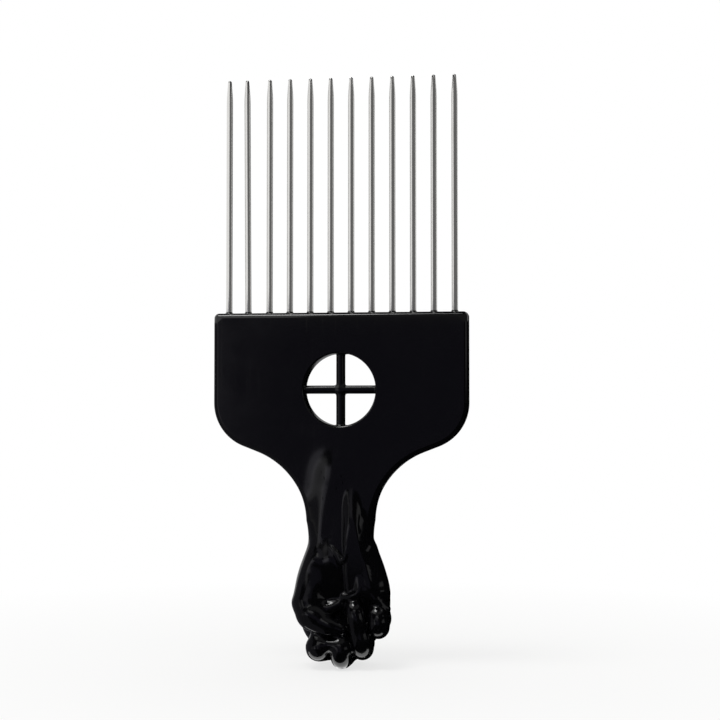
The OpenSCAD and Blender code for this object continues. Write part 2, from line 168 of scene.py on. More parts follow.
index_finger = chain([-4.6, 5.8, 4.7, 3.9], [-5.5, -4.5, 5.6, 3.6], [-5.4, -6, 6.6, 3.3],
                     [-5, -4, 11, 2.6])
middle_finger = chain([1.2, 6.6, 3.9, 3.7], [1.05, -4.5, 2.9, 2.9], [0.9, -6.4, 5.4, 3],
                      [0.8, -4.4, 9.8, 2.4])
ring_finger = chain([5.4, 6.2, 5.6, 3.4], [6.85, -4.5, 5.95, 3.15], [6, -6, 11, 2.8],
                    [4.9, -5.9, 16.2, 2.7], [4.6, -3.4, 18.6, 2.2])
little_finger = chain([10.4, 4.8, 13, 3.3], [11.4, -4.2, 11.8, 3.2], [11.3, -5, 14.6, 2.9],
                      [10.6, -3, 17, 2.4])
fingers = [index_finger, middle_finger, ring_finger, little_finger]
root_of_thumb = chain([-6.2, -0.8, 29, 3.2], [-7.6, -2.3, 24.5, 4.2], [-9.2, -4.1, 18.6, 4.3])
thumb = [chain([-9, -3.6, 18.4, 4], [-7.9, -5.5, 15.2, 4], [-5.8, -6.7, 13, 2.8],
               [-3.2, -7.1, 11.8, 2.3]),
         chain([-7.6, -3.6, 19, 2.8], [-5.6, -5.9, 15.3, 2.6], [-2.4, -6.8, 12.7, 2.4],
               [0.8, -6.8, 11.3, 2])]
web_of_thumb = chain([-6.8, -4.4, 20.4, 2], [-5.2, -5, 18, 2.1], [-3, -5.1, 17, 2.1],
                     [0.2, -4.4, 18.3, 1.8])
finger_bar = chain([-7, -6, 6.9, 1.8], [-3.5, -6.8, 7, 1.9], [0, -7, 6.8, 1.9], [2.6, -6.2, 5.6, 1.7])
thumb_face = [-5, -9.6, 13], [-0.1, -0.98, -0.16]
print("joints of the fingers:", [len(finger) for finger in fingers])

# %% [markdown]
# Above the fingers the palm shows its two heels, a ridge of three tendons on the wrist and the long cord
# that runs from the wrist to the thumb. Folds of skin stand up where fingertips press into the palm.
# Sculpting would get such forms faster, but as chains their places can be set against the photograph one by
# one. The faces are planes that heels and ridge are pressed flat against.

# %% Heels, tendons and folds
heel_of_thumb = [chain([-5.6, -1.4, 35, 2.4], [-6.4, -2.6, 29.5, 4], [-7, -2.6, 25, 4.4],
                       [-7, -2.2, 21, 4.4]),
                 chain([-2.4, -2.2, 34.5, 2.8], [-2, -3.2, 29.4, 3.6], [-1.9, -3, 24, 3.8],
                       [-2, -2.6, 20.5, 3.6])]
thumb_cord = chain([0.2, 1.5, 63, 1], [-0.9, -1.9, 57.5, 3.8], [-2.6, -2.5, 50, 3.1],
                   [-4.4, -3.6, 43, 1.7], [-5.2, -4.1, 36, 1.4], [-5.2, -4, 31, 1.4])
cord_squash = 2.2
palm_ridge = [chain([2.7, -2.1, 50, 1.1], [2.9, -3.3, 46, 1.2], [3.1, -4.1, 42, 1.3],
                    [3.2, -4.8, 38, 1.4], [3.3, -5, 34, 1.6], [3.6, -5, 28, 1.8], [3.8, -4.8, 23, 1.8]),
              chain([3.4, -1.9, 51, 1.4], [3.6, -2.8, 46, 1.7], [3.8, -3.6, 42, 1.9],
                    [3.9, -4.4, 38, 1.9], [4.3, -4.8, 33, 1.9], [5.2, -5, 28, 1.9], [5.8, -4.9, 23, 1.9]),
              chain([4, -2.1, 49, 1.1], [4.3, -3.3, 45.5, 1.2], [4.5, -4.1, 42, 1.3],
                    [4.7, -4.9, 38.5, 1.4], [5.2, -5, 35.4, 1.6], [6.9, -5, 29.9, 1.7],
                    [7.9, -4.9, 23, 1.8])]
heel_of_palm = chain([7.9, 0.4, 33, 2.3], [9.8, -1.8, 25, 3.5], [10.4, -2.2, 21.5, 3.6])
ring_fold = chain([1.9, -5, 20.4, 1.1], [4.4, -5.5, 20.8, 1.2], [6, -5.6, 22, 1.1], [6.2, -5.1, 25.5, 0.9])
little_fold = chain([7.4, -4.8, 22.2, 1.1], [10.5, -4.9, 19.9, 1.3], [13.6, -3.4, 17, 1.3])
crease_fold = chain([-2, -4.9, 34.4, 0.7], [-0.2, -5.5, 32.6, 0.8], [1.2, -5.9, 30.6, 0.8],
                    [2.2, -5.7, 32, 0.8], [2.5, -5.2, 35, 0.7], [2.4, -4.6, 39, 0.6])
palm_face = [4, -6.2, 30], [0, -1, 0]
heel_face = [-4, -6.5, 31], [-0.03, -0.99, -0.1]
back_cord_height, back_cord_depth, back_cord_radius, back_cord_gather = 35.2, 4.6, 2, 0.45
print("joints of the ridge:", [len(cord) for cord in palm_ridge])

# %% [markdown]
# The reach of the core is listed every six millimetres, to the left, right, front and back. The blends say
# over how many millimetres two parts melt together, and the ceilings how far up a part reaches, so that
# nothing is worked out where it can't be.

# %% Reach of the core, and how softly the parts join
core_bottom, core_step, core_squareness, core_floor, core_floor_blend = 4, 6, 2.5, 4.7, 3
core_reach = np.array([[6.8, 6.8, 3, 7], [11, 11.8, 4.2, 8], [12, 13.9, 4.6, 8.3],
                       [12.6, 13.8, 4.9, 7.9], [11.8, 11.9, 5.1, 7.2], [9.7, 9.8, 5.2, 6.6],
                       [9, 9, 4.7, 6.2], [8.5, 8.5, 3.9, 5.6], [8, 8, 3, 4.8], [7.3, 7.3, 2.3, 3.8],
                       [6.4, 6.4, 2, 2.8], [5.6, 5.6, 1.6, 2]])
heel_blend, ridge_blend, cord_blend, fold_blend, finger_blend, fist_blend = 1.6, 0.6, 1, 0.9, 0.35, 1
thumb_blend, back_blend, neck_blend, mound_blend = 0.8, 2.2, 2.4, 1.4
face_edge, crease_blend, root_blend = 0.6, 0.3, 2
fist_ceiling, hand_ceiling, cord_floor, neck_ceiling = 27, 44, 24, 69
print("the core is listed from", core_bottom, "to", core_bottom + core_step * (len(core_reach) - 1))

# %% [markdown]
# Under fingers and heels lies the solid of wrist and palm. It could be lofted through sections drawn by
# hand. The listed reaches do the same in numbers: a smooth curve joins them over the height, and each
# section is something between an ellipse and a rectangle, as a wrist has.

# %% Core of wrist and palm
def core_at(z):
    """Reach at a height, on a smooth cubic through the listed rows."""
    last = len(core_reach) - 1
    place = np.clip((np.asarray(z, float) - core_bottom) / core_step, 0, last - 0.001)
    i = np.floor(place).astype(int)
    u = (place - i)[..., None]
    a, b = core_reach[i], core_reach[i + 1]
    slope_a = (b - core_reach[np.maximum(i - 1, 0)]) / np.where(i > 0, 2, 1)[..., None]
    slope_b = (core_reach[np.minimum(i + 2, last)] - a) / np.where(i + 2 <= last, 2, 1)[..., None]
    return cubic(a, b, slope_a, slope_b, u)


def core(p):
    """One minus the 2.5th root of x^2.5 + y^2.5, in shares of the reach, times the smaller reach."""
    reach = core_at(p[:, 2])
    wide, deep = (reach[:, 0] + reach[:, 1]) / 2, (reach[:, 2] + reach[:, 3]) / 2
    x = np.abs(p[:, 0] - (reach[:, 1] - reach[:, 0]) / 2) / wide
    y = np.abs(p[:, 1] - (reach[:, 3] - reach[:, 2]) / 2) / deep
    out = (x**core_squareness + y**core_squareness) ** (1 / core_squareness)
    return -blend((1 - out) * np.minimum(wide, deep), p[:, 2] - core_floor, core_floor_blend)

# %% [markdown]
# The real hand was carved once as a pattern, and the plastic fills its mould in one shot. Blocks joined by
# booleans would leave hard creases between the fingers. So each part of the hand is taken on with a
# softness of its own, tight between fingers and wide on the back of the hand.

# %% The whole moulding as one field
def knuckle_cord(finger):
    """The cord on the back of the hand, from a finger's knuckle up to the wrist."""
    knuckle = finger[0]
    wrist = [knuckle[0] * back_cord_gather, back_cord_depth, back_cord_height, back_cord_radius]
    return flowing(np.array([knuckle + [0, 0.4, 0, -0.2], wrist]), 24)


def run_together(p, limbs, softness):
    """Distance from several limbs that melt into each other one after the other, the last of them first."""
    gap = limb(p, limbs[-1])
    for other in limbs[-2::-1]:
        gap = blend(limb(p, other), gap, softness)
    return gap


def mound(p, limbs, face):
    """Limbs with a flat face: the smooth greater of their distance and the height over a plane."""
    point, way = face
    return -blend(-run_together(p, limbs, mound_blend), -(p - point) @ way, face_edge)


# Each part of the hand comes with its softness and with the heights between which it is looked for.
below_all, above_all = -99, 999
hand_parts = [(lambda p: mound(p, palm_ridge, palm_face), ridge_blend, below_all, above_all),
              (lambda p: flat_limb(p, thumb_cord, cord_squash), cord_blend, cord_floor, above_all),
              (lambda p: limb(p, heel_of_palm), back_blend, below_all, hand_ceiling),
              (lambda p: mound(p, heel_of_thumb, heel_face), heel_blend, below_all, hand_ceiling),
              (lambda p: limb(p, crease_fold), crease_blend, below_all, hand_ceiling),
              (lambda p: limb(p, web_of_thumb), fold_blend, below_all, fist_ceiling),
              (lambda p: limb(p, ring_fold), fold_blend, below_all, fist_ceiling),
              (lambda p: limb(p, little_fold), fold_blend, below_all, fist_ceiling)]
hand_parts += [(lambda p, f=finger: limb(p, knuckle_cord(f)), back_blend, below_all, hand_ceiling)
               for finger in fingers]
hand_parts += [(lambda p: run_together(p, fingers, finger_blend), fist_blend, below_all, fist_ceiling),
               (lambda p: limb(p, finger_bar), fold_blend, below_all, fist_ceiling),
               (lambda p: limb(p, root_of_thumb), root_blend, below_all, hand_ceiling),
               (lambda p: mound(p, thumb, thumb_face), thumb_blend, below_all, fist_ceiling)]


def moulding_gap(p):
    """Distance from the moulding: the core takes on each part of the hand in turn, and the plate last."""
    gap = plate(p)
    low = p[:, 2] <= neck_ceiling
    q = p[low]
    hand = core(q)
    for part, softness, floor, ceiling in hand_parts:
        here = (q[:, 2] >= floor) & (q[:, 2] <= ceiling)
        hand[here] = blend(hand[here], part(q[here]), softness)
    gap[low] = blend(gap[low], hand, neck_blend)
    return gap


def uphill(field, p, step=0.004):
    """Unit normals: the slope of a field, from differences over a few thousandths of a millimetre."""
    slope = np.stack([field(p + step * axis) - field(p - step * axis) for axis in np.eye(3)], 1)
    return slope / np.linalg.norm(slope, axis=1)[:, None]


print("distance at the middle of the head:", moulding_gap(np.array([[0, 0, 90.0]])))

# %% [markdown]
# A field has no surface yet. Marching cubes would find one but would nibble at the flat faces. Here rays
# start on short rows inside the plastic and are cut where they leave it, so both faces stay exactly flat
# and the points form rings that follow the outline: over the top, round the corners, down the neck and
# round under the knuckles.

# %% Rays of a ring
face_steps, fan = 118, radians(22)
rim_angle = atan((half_thickness - rim_radius) / half_thickness)
seam_angles = np.radians([-5.5, -3, -1.4, 0, 1.4, 3, 5.5])
flat_angles = np.concatenate([np.radians([-22, -16, -10]), seam_angles, np.radians([10, 16, 22])])
fillet_angles = np.linspace(rim_angle, pi / 2 - rim_angle, 12)
round_angles = np.linspace(radians(10), radians(87), 15)
head_side = np.concatenate([-fillet_angles[::-1], flat_angles, fillet_angles])
fist_side = np.concatenate([-round_angles[::-1], seam_angles, round_angles]) * (1 - fan / (pi / 2))
share = np.linspace(-1, 1, face_steps + 1)
end = np.ones(len(head_side))
shares = np.concatenate([share, end, -share, -end])
head_turns = np.concatenate([0 * share, pi / 2 + head_side, 0 * share + pi, 1.5 * pi + head_side])
fist_turns = np.concatenate([share * fan, pi / 2 + fist_side, pi + share * fan, 1.5 * pi + fist_side])


def ring_rays(rings):
    """Starts and directions of rays. A ring is the reach of its row to the left and right, its height, the
    lean of its side rays, the dip of all rays and its share of fist. Turns run from the front over the right.
    """
    left, right, z, lean, dip, fist = rings.T[:, :, None]
    turn = head_turns + (fist_turns - head_turns) * fist
    way = np.stack([np.sin(turn) * np.cos(lean), -np.cos(turn), np.abs(np.sin(turn)) * np.sin(lean)], -1)
    way *= np.cos(dip)[..., None]
    way[..., 2] += np.sin(dip)
    base = np.stack([(right - left) / 2 + shares * (left + right) / 2, 0 * turn, z + 0 * turn], -1)
    return base, way


print(f"{len(shares)} rays in a ring")

# %% [markdown]
# The rings follow each other from the top edge down to the knuckles. Even steps would be simpler, but they
# would waste points on the straight sides and show facets at the round corners. Arcs are stepped by their
# angle, and the fist every quarter of a millimetre.

# %% Rings from the top of the head to the knuckles
def outline_ring(x, z, angle):
    """The ring whose side rays come out at a point of the head's outline, square to it."""
    reach = x - half_thickness * cos(angle)
    return [reach, reach, z - half_thickness * sin(angle), angle, 0, 0]


def fist_ring(z, dip, fist):
    """The row of a fist ring keeps inside the core, and leaves the neck's row over a third of the way."""
    reach, early = core_at(z), min(1, fist * 3)
    left, right = (neck_row + (reach[i] - row_inset - neck_row) * early for i in (0, 1))
    return [left, right, z, 0, dip, fist]


row_inset, last_base_height = 3.8, 9
top_row, top_reach = head_top - half_thickness, half_width - half_thickness
neck_row = neck_half_width - half_thickness
steep = [radians(a) for a in (88.6, 87, 84.5)]
rings = [[top_reach, top_reach, top_row, 0, dip, 0] for dip in [*steep, *fillet_angles[::-1]]]
rings += [outline_ring(half_width, z, 0) for z in np.linspace(top_row, corner_height, 9)]
rings += [outline_ring(*(corner_centre + corner_radius * np.array([cos(a), sin(a)])), a)
          for a in np.linspace(0, join_angle, 25)[1:]]
rings += [outline_ring(*(hollow_centre - hollow_radius * np.array([cos(a), sin(a)])), a)
          for a in np.linspace(join_angle, 0, 45)[:-1]]
rings += [fist_ring(neck_height - s * (neck_height - last_base_height), 0, s) for s in np.linspace(0, 1, 114)]
dips = [*np.radians(np.arange(1, 35) * 2.45), *steep[::-1]]
rings += [fist_ring(last_base_height, -dip, 1) for dip in dips]
rings = np.array(rings)
print(f"{len(rings)} rings")

# %% [markdown]
# The two halves of the mould met along the side of the pick and left a faint raised line there. It could be
# a bump in the material, but then it would vanish at the outline. Here it is part of the field, and the
# rings are joined across the shorter diagonal of each patch.

# %% Cut the rays and join the points
def cut(field, base, way, reach, turns=30):
    """Walks each ray in from its far end by the distance still left, until that is nothing."""
    t = np.full(len(base), float(reach))
    for _ in range(turns):
        t = np.clip(t - field(base + t[:, None] * way), 0.2, reach)
    return base + t[:, None] * way


def seamed_gap(p):
    """The moulding with the faint raised line, a bell curve across, where the two halves of the mould met."""
    return moulding_gap(p) - seam_height * np.exp(-(p[:, 1] / seam_width) ** 2)


seam_height, seam_width, ray_length = 0.04, 0.1, 14
base, way = ring_rays(rings)
ring_points = cut(seamed_gap, base.reshape(-1, 3), way.reshape(-1, 3), ray_length)
seams = []
for ring, up in ((0, 1), (-1, -1)):
    start = base[ring, :face_steps + 1]
    seams.append(cut(seamed_gap, start, np.tile([0.0, 0, up], (len(start), 1)), ray_length))
points = np.concatenate([ring_points, *seams])
ring_size = len(shares)
i = np.arange(ring_size)
j = (i + 1) % ring_size
a, b = (np.arange(len(rings) - 1)[:, None] * ring_size + k for k in (i, j))
a, b = a.ravel(), b.ravel()
c, d = a + ring_size, b + ring_size
first = np.linalg.norm(points[a] - points[d], axis=1) < np.linalg.norm(points[b] - points[c], axis=1)
one = np.where(first[:, None], np.stack([a, b, d], 1), np.stack([a, b, c], 1))
two = np.where(first[:, None], np.stack([a, d, c], 1), np.stack([b, d, c], 1))
place = np.concatenate([np.arange(face_steps + 1), end * face_steps,
                        np.arange(face_steps + 1)[::-1], end * 0]).astype(int)
caps = []
for start, seam, down in ((0, len(ring_points), False),
                          (len(ring_points) - ring_size, len(ring_points) + face_steps + 1, True)):
    a, b, c, d = start + i, start + j, seam + place[i], seam + place[j]
    pair = [np.stack([a, b, c], 1), np.stack([b, d, c], 1)[c != d]]
    caps += pair if down else [p[:, ::-1] for p in pair]
triangles = np.concatenate([one, two, *caps])[:, ::-1]
print(f"moulding: {len(points)} points, {len(triangles)} triangles")

# %% [markdown]
# Everything else round on the pick is turned as on a lathe: collars, sockets, the window's edge and the
# pins. A Screw modifier could turn a profile as well. A grid of r cos a and r sin a gives the same shape as
# an array, and so any number of copies can go into one boolean.

# %% Meshes and lathe work
def solid(name, points, triangles):
    """A Blender object from whole arrays, in metres."""
    mesh = bpy.data.meshes.new(name)
    mesh.vertices.add(len(points))
    mesh.vertices.foreach_set("co", (np.asarray(points) * MM).ravel())
    mesh.loops.add(3 * len(triangles))
    mesh.loops.foreach_set("vertex_index", triangles.ravel().astype(np.int32))
    mesh.polygons.add(len(triangles))
    mesh.polygons.foreach_set("loop_start", np.arange(0, 3 * len(triangles), 3, dtype=np.int32))
    mesh.update(calc_edges=True)
    made = bpy.data.objects.new(name, mesh)
    bpy.context.scene.collection.objects.link(made)
    return made


def tube(grid):
    """Triangles over a grid of closed rings, with a point at the middle of both end rings."""
    rows, steps = grid.shape[:2]
    i = np.arange(steps)
    j = (i + 1) % steps
    a, b = ((np.arange(rows - 1)[:, None] * steps + k).ravel() for k in (i, j))
    last = (rows - 1) * steps
    low, high = np.full(steps, rows * steps), np.full(steps, rows * steps + 1)
    points = np.concatenate([grid.reshape(-1, 3), grid[:1].mean(axis=1), grid[-1:].mean(axis=1)])
    faces = [[a, b, b + steps], [a, b + steps, a + steps], [j, i, low], [last + i, last + j, high]]
    return points, np.concatenate([np.stack(f, 1) for f in faces])


def lathe(profile, steps):
    """Points at r cos a, r sin a, h for each radius r and height h of a profile that runs upward."""
    r, h = np.array(profile, float).T[:, :, None]
    a = np.linspace(0, 2 * pi, steps, endpoint=False)
    return tube(np.stack([r * np.cos(a), r * np.sin(a), h + 0 * a], -1))


def together(parts):
    """Several point and triangle arrays as one pair."""
    offsets = np.cumsum([0] + [len(p) for p, _ in parts[:-1]])
    return np.concatenate([p for p, _ in parts]), np.concatenate([t + o for (_, t), o in zip(parts, offsets)])


def carve(target, tool, operation):
    """Gives the target the mesh that one boolean leaves, and takes the tool away."""
    step = target.modifiers.new("step", "BOOLEAN")
    step.solver, step.operation, step.object = "MANIFOLD", operation, tool
    shaped = target.evaluated_get(bpy.context.evaluated_depsgraph_get())
    mesh = bpy.data.meshes.new_from_object(shaped)
    target.modifiers.clear()
    target.data = mesh
    bpy.data.objects.remove(tool)
    print(f"{operation.lower()}: {len(mesh.polygons)} faces")


handle = solid("moulded_handle", points, triangles)

# %% [markdown]
# The pins are pushed into blind sockets while the plastic is still soft, so a small collar of it stands up
# round each pin. Collars, sockets and the round window are turned shapes, a profile carried round an axis,
# and booleans join or cut them. The window's tool flares out in a quarter of a circle, which leaves its
# edge rounded.

# %% Collars, sockets and the round window
def at_pin(points, i):
    """Moves points from a pin's own axis to its mouth in the head; one pin stands a little out of line."""
    stray = i + 1 == stray_pin
    lean = stray_lean if stray else 0
    x, y, z = points.T
    middle = (i - (pin_count - 1) / 2) * pin_pitch - (stray_offset if stray else 0)
    return np.stack([x * cos(lean) - z * sin(lean) + middle, y, x * sin(lean) + z * cos(lean) + head_top], 1)


def for_pins(shape):
    """One copy of a shape at each pin, as a single pair of arrays."""
    points, triangles = shape
    return together([(at_pin(points, i), triangles) for i in range(pin_count)])


collar_rise, collar_radius, embed, hub = 0.45, pin_radius + 0.5, 0.8, 0.2
bow = np.radians(np.arange(78, -1, -13))
collar = [[collar_radius, -embed], [collar_radius, -0.05]]
collar += [[collar_radius - collar_rise * cos(g), collar_rise - collar_rise * sin(g)] for g in bow]
carve(handle, solid("tool", *for_pins(lathe([[hub, -embed], *collar, [hub, collar_rise]], 40))), "UNION")
socket = lathe([[hub, -root_depth], [pin_radius, -root_depth], [pin_radius, 2], [hub, 2]], 48)
flare, flare_meets_face = np.radians(np.arange(0, 85, 7)), radians(81)
flare_centre = half_thickness - window_rim * sin(flare_meets_face)
spool = [[window_radius + window_rim * (1 - cos(g)), flare_centre + window_rim * sin(g)] for g in flare]
spool += [[window_radius + window_rim + 1, half_thickness + 0.2], [0.5, half_thickness + 0.4]]
spool = [[r, -h] for r, h in spool[::-1]] + spool
window, window_faces = lathe(spool, 160)
window = np.stack([window[:, 0], -window[:, 2], window[:, 1] + window_height], 1)
carve(handle, solid("tool", *together([for_pins(socket), (window, window_faces)])), "DIFFERENCE")

# %% [markdown]
# Two bars cross in the window. They are slimmer than the head is thick, and where they meet each other and
# the wall, the mould leaves small hollow fillets. Each bar is a tube of rays round its own axis, cut where
# a field of both bars and the wall ends, so the soft minimum draws the fillets.

# %% Bars of the window
def cross_gap(p):
    """Soft minimum of the distances from the upright bar, the level bar and the window's wall."""
    x, y, z = p[:, 0], p[:, 1], p[:, 2] - window_height
    half = [bar_width / 2, bar_depth / 2]
    bars = [rounded(np.stack([across, y], 1), half, bar_rounding) for across in (x, z)]
    return blend(blend(*bars, fillet_blend), window_radius - np.hypot(x, z), fillet_blend)


fillet_blend, bar_reach = 0.6, 2.3
half_way = np.concatenate([np.linspace(0, 2, 15), np.linspace(2.6, 8.4, 8),
                           np.linspace(8.8, window_radius + 0.4, 18)])
along = np.concatenate([-half_way[:0:-1], half_way])
turn = np.linspace(0, 2 * pi, 48, endpoint=False)
for level in (False, True):
    base = np.stack(np.broadcast_arrays(0.0, 0.0, along[:, None] + 0 * turn), -1)
    way = np.stack(np.broadcast_arrays(np.cos(turn), np.sin(turn), 0 * along[:, None]), -1)
    if level:
        base, way = (v[..., [2, 1, 0]] * [1, 1, -1] for v in (base, way))
    base = base + [0, 0, window_height]
    grid = cut(cross_gap, base.reshape(-1, 3), way.reshape(-1, 3), bar_reach).reshape(base.shape)
    carve(handle, solid("tool", *tube(grid)), "UNION")

# %% [markdown]
# Gloss shows every error of a normal, and where a flat face meets a rounding Blender would average the two.
# So the points of the moulding take their normals from the slope of the field itself, and only the carved
# places, which the field doesn't know, keep Blender's own, with edges over thirty degrees left sharp.

# %% Normals from the field
mesh = handle.data
mesh.shade_smooth()
mesh.set_sharp_from_angle(angle=radians(30))
place = np.zeros(3 * len(mesh.vertices))
mesh.vertices.foreach_get("co", place)
place = place.reshape(-1, 3) / MM
loops, starts, totals = (np.zeros(n, int) for n in (len(mesh.loops), len(mesh.polygons), len(mesh.polygons)))
mesh.loops.foreach_get("vertex_index", loops)
mesh.polygons.foreach_get("loop_start", starts)
mesh.polygons.foreach_get("loop_total", totals)
facing, middle, corners = (np.zeros(3 * n) for n in (len(starts), len(starts), len(loops)))
mesh.polygons.foreach_get("normal", facing)
mesh.polygons.foreach_get("center", middle)
mesh.corner_normals.foreach_get("vector", corners)
facing, middle, corners = facing.reshape(-1, 3), middle.reshape(-1, 3) / MM, corners.reshape(-1, 3)
skin_depth, alike = 0.05, 0.6
skin = np.abs(seamed_gap(middle)) < skin_depth
skin[skin] = (uphill(seamed_gap, middle[skin]) * facing[skin]).sum(axis=1) > alike
of_skin = np.repeat(skin, totals)
corners[of_skin] = uphill(seamed_gap, place)[loops[of_skin]]
mesh.normals_split_custom_set(corners)
print(f"{skin.sum()} of {len(skin)} faces take the field's normals")

# %% [markdown]
# Each pin is a length of drawn steel wire with a ground tip, which makes it a shape for the lathe: shaft, a
# soft shoulder where grinding began, a straight taper and a small round end that doesn't scratch the scalp.
# The twelve are alike, and each is a piece of its own because each is a part of its own in the frame.

# %% Pins
pin_top, shoulder_blend = overall_length - head_top, 0.12
heights = np.concatenate([np.linspace(pin_top - tip_length - 1.5, pin_top - tip_length + 1.5, 12),
                          np.linspace(pin_top - tip_length + 2, pin_top - tip_radius, 6)])
slope = (pin_radius - tip_radius) / (tip_length - tip_radius)
slant = pin_radius - (heights - pin_top + tip_length) * slope
outline = [[pin_radius - root_chamfer, -root_depth], [pin_radius, root_chamfer - root_depth]]
outline += [[pin_radius, h] for h in np.linspace(2 - root_depth, pin_top - tip_length - 2.5, 12)]
outline += list(zip(blend(slant, pin_radius + 0 * slant, shoulder_blend), heights))
outline += [[tip_radius * cos(a), pin_top - tip_radius * (1 - sin(a))]
            for a in np.radians([15, 30, 45, 60, 75, 85])]
pin_points, pin_faces = lathe(outline, 40)
pins = [solid(f"steel_pin_{i + 1:02d}", at_pin(pin_points, i), pin_faces) for i in range(pin_count)]
for i, pin in enumerate(pins):
    pin.data.shade_smooth()
    pin.data.set_sharp_from_angle(angle=radians(32))
    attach(pin, "root")
    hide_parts(f"pin_{i + 1:02d}")
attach(handle, "root")
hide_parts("handle")
print(f"{len(pins)} pins of {len(pin_faces)} triangles")

# %% [markdown]
# Colours are written as the hex codes that a paint chart would give. The renderer works in linear light, so
# one function undoes the curve of those codes. Another adds a node together with its settings and links.

# %% Colour and node helpers
def linear(code):
    """An sRGB hex code as linear red, green, blue and full alpha."""
    parts = [int(code[i:i + 2], 16) / 255 for i in (1, 3, 5)]
    return [v / 12.92 if v <= 0.04045 else ((v + 0.055) / 1.055) ** 2.4 for v in parts] + [1]


def add(tree, kind, inputs=None, **settings):
    """A node with its settings; each input takes a value, or the socket of another node to link from."""
    made = tree.nodes.new("ShaderNode" + kind)
    for name, value in settings.items():
        setattr(made, name, value)
    for socket, value in (inputs or {}).items():
        if isinstance(value, bpy.types.NodeSocket):
            tree.links.new(value, made.inputs[socket])
        else:
            made.inputs[socket].default_value = value
    return made


def material(name):
    """An empty node material and its tree."""
    made = bpy.data.materials.new(name)
    made.use_nodes = True
    made.node_tree.nodes.clear()
    return made, made.node_tree

# %% [markdown]
# The handle is injection-moulded polystyrene or ABS, black all through, from a polished mould. Its gloss is
# clean but never quite a mirror: the skin waves a little where the plastic shrank over thick places, a very
# fine orange-peel dulls it, and pockets and bags leave hairline scuffs.

# %% Black moulded plastic
plastic, tree = material("injection_moulded_black_abs")
# A noise of scale metre / 14 has waves 14 mm long.
metre = 1000
where = add(tree, "TexCoord").outputs["Object"]
shrink = add(tree, "TexNoise", {"Vector": where, "Scale": metre / 14, "Detail": 1, "Roughness": 0.4})
peel = add(tree, "TexNoise", {"Vector": where, "Scale": metre / 0.6, "Detail": 2, "Roughness": 0.5})
slide = add(tree, "Mapping", {"Vector": where, "Rotation": (0.2, 0.9, 0.3), "Scale": (1, 1, 0.02)})
scuff = add(tree, "TexNoise", {"Vector": slide.outputs["Vector"], "Scale": metre / 0.5, "Detail": 1})
hairline = add(tree, "MapRange", {"Value": scuff.outputs["Fac"], "From Min": 0.66, "From Max": 0.74})
patchy = add(tree, "TexNoise", {"Vector": where, "Scale": metre / 9, "Detail": 4, "Roughness": 0.6})
dull = add(tree, "MapRange", {"Value": patchy.outputs["Fac"], "From Min": 0.3, "From Max": 0.75,
                              "To Min": 0.1, "To Max": 0.17})
rough = add(tree, "Math", {0: hairline.outputs["Result"], 1: 0.1, 2: dull.outputs["Result"]},
            operation="MULTIPLY_ADD")
tint = add(tree, "Mix", {"Factor": patchy.outputs["Fac"], 6: linear("#040405"), 7: linear("#060608")},
           data_type="RGBA")
wave = add(tree, "Bump", {"Height": shrink.outputs["Fac"], "Strength": 0.25, "Distance": 0.02 * MM})
grain = add(tree, "Bump", {"Height": peel.outputs["Fac"], "Strength": 0.15, "Distance": 0.002 * MM,
                           "Normal": wave.outputs["Normal"]})
shader = add(tree, "BsdfPrincipled", {"Base Color": tint.outputs[2], "Roughness": rough.outputs["Value"],
                                      "IOR": 1.48, "Normal": grain.outputs["Normal"]})
add(tree, "OutputMaterial", {"Surface": shader.outputs["BSDF"]})
handle.data.materials.clear()
handle.data.materials.append(plastic)
print("plastic:", len(tree.nodes), "nodes")

# %% [markdown]
# The pins are spring steel wire, drawn through a die and plated with bright nickel. Drawing leaves fine
# lines along the wire, and they blur a reflection more across the pin than along it. They are about a
# hundredth of a millimetre apart in truth; here they are a tenth, coarse enough to show.

# %% Nickel-plated drawn steel
steel, tree = material("nickel_plated_drawn_steel")
where = add(tree, "TexCoord").outputs["Object"]
stretch = add(tree, "Mapping", {"Vector": where, "Scale": (1, 1, 0.015)})
draw = add(tree, "TexNoise", {"Vector": stretch.outputs["Vector"], "Scale": metre / 0.1, "Detail": 2})
cloud = add(tree, "TexNoise", {"Vector": where, "Scale": metre / 5, "Detail": 3})
blur = add(tree, "MapRange", {"Value": draw.outputs["Fac"], "From Min": 0.3, "From Max": 0.7,
                              "To Min": 0.1, "To Max": 0.17})
metal = add(tree, "Mix", {"Factor": cloud.outputs["Fac"], 6: linear("#d6d5d2"), 7: linear("#dedddb")},
            data_type="RGBA")
lines = add(tree, "Bump", {"Height": draw.outputs["Fac"], "Strength": 0.2, "Distance": 0.004 * MM})
shader = add(tree, "BsdfPrincipled", {"Base Color": metal.outputs[2], "Metallic": 1.0,
                                      "Roughness": blur.outputs["Result"], "Normal": lines.outputs["Normal"]})
add(tree, "OutputMaterial", {"Surface": shader.outputs["BSDF"]})
for pin in pins:
    pin.data.materials.append(steel)
print("steel:", len(tree.nodes), "nodes")

# %% [markdown]
# The pick stands on white paper in front of a white room. Stronger lamps would burn such a background out,
# but they would wash the plastic out as well. Instead the Light Path node tells which rays look at it: the
# camera, reflections and transmission see plain white, and the rays that light the object meet only paper
# and a softer sky. Round the foot the paper shines a little less, so the object's shadow stays.

# %% White floor and world
def grid_sheet(name, points):
    """A sheet over a grid of points in metres."""
    rows, columns = points.shape[:2]
    k = np.arange(rows * columns).reshape(rows, columns)
    a, b, c, d = (v.ravel() for v in (k[:-1, :-1], k[:-1, 1:], k[1:, :-1], k[1:, 1:]))
    triangles = np.concatenate([np.stack([a, b, d], 1), np.stack([a, d, c], 1)])
    return solid(name, points.reshape(-1, 3) / MM, triangles)


